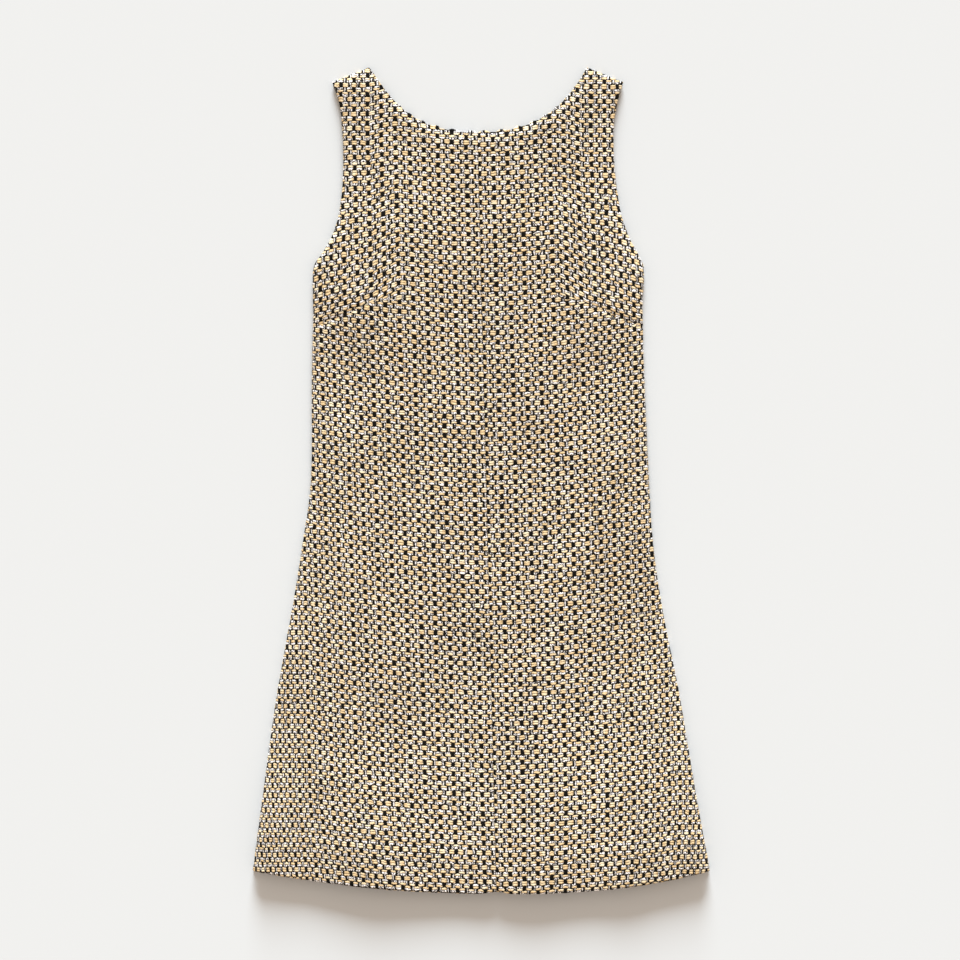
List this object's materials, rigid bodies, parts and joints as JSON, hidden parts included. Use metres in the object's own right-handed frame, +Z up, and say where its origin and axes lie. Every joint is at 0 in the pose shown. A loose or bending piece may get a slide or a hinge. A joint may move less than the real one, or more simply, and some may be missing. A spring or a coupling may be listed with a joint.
{
  "type": "sleeveless a-line shift dress",
  "caption": "Sleeveless A-line shift dress in basket-weave tweed, laid flat, with a scoop neck, centre-front seam, bust darts and a turned-up hem.",
  "frame": {"origin": "middle of the dress's box, on its underside, where it lies on a surface", "axes": "+Y from the hem to the neck, +X to the wearer's left, +Z up from the surface it lies on"},
  "size_m": [0.497, 0.8988, 0.0109],
  "materials": {
    "tweed_front": "coarse basket-weave tweed in black, cream and tan",
    "tweed_back": "coarse basket-weave tweed in black, cream and tan"
  },
  "bodies": {
    "root": {"back": "tweed_back", "front_right": "tweed_front", "front_left": "tweed_front"}
  },
  "joints": []
}
